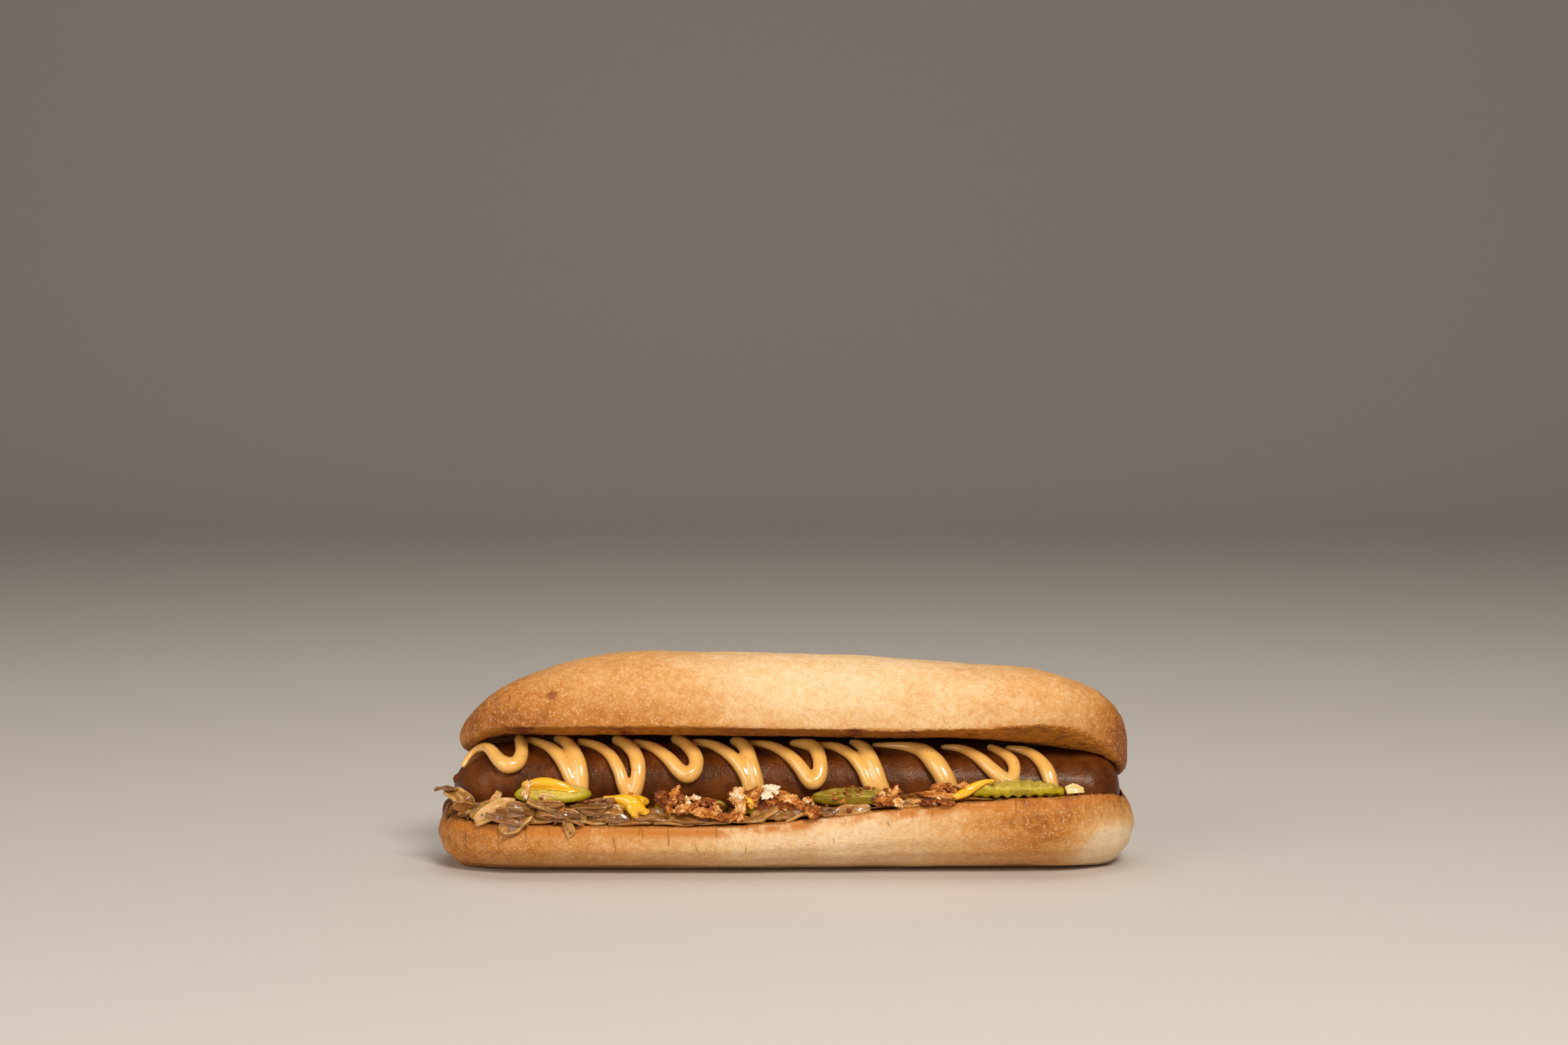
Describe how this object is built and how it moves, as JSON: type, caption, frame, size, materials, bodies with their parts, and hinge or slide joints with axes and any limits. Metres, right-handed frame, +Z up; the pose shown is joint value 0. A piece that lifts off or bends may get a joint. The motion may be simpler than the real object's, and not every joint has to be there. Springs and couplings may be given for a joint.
{
  "type": "hot dog",
  "caption": "Loaded hot dog: hinged long bun, smoked sausage under a zigzag of thick sauce, with pickle slices, soft fried onions, crispy fried onions and mustard.",
  "frame": {"origin": "on the surface the bun rests on, below the middle of the whole hot dog", "axes": "+X along the bun, towards the end where its lower half is thicker; +Y towards the hinge at the back, so the open side faces -Y; +Z up"},
  "size_m": [0.2314, 0.0688, 0.0711],
  "materials": {
    "bread": "baked crust, matt with a soft sheen, pale crumb where cut",
    "sausage_skin": "smoked casing, satin with fine bright glints",
    "sauce": "thick creamy sauce, glossy",
    "mustard": "smooth mustard, glossy",
    "pickle": "wet, slightly translucent",
    "soft_onion": "cooked until soft, wet and translucent",
    "crispy_onion": "fried crumb coating, rough with oily glints"
  },
  "bodies": {
    "root": {"bun": "bread", "sausage": "sausage_skin", "pickle_1": "pickle", "pickle_2": "pickle", "pickle_3": "pickle", "pickle_4": "pickle", "pickle_5": "pickle", "onions": "soft_onion", "onion_petal": "soft_onion", "crispy_onions_1": "crispy_onion", "crispy_onions_2": "crispy_onion", "crispy_onions_3": "crispy_onion", "crispy_onions_4": "crispy_onion"}
  },
  "joints": []
}
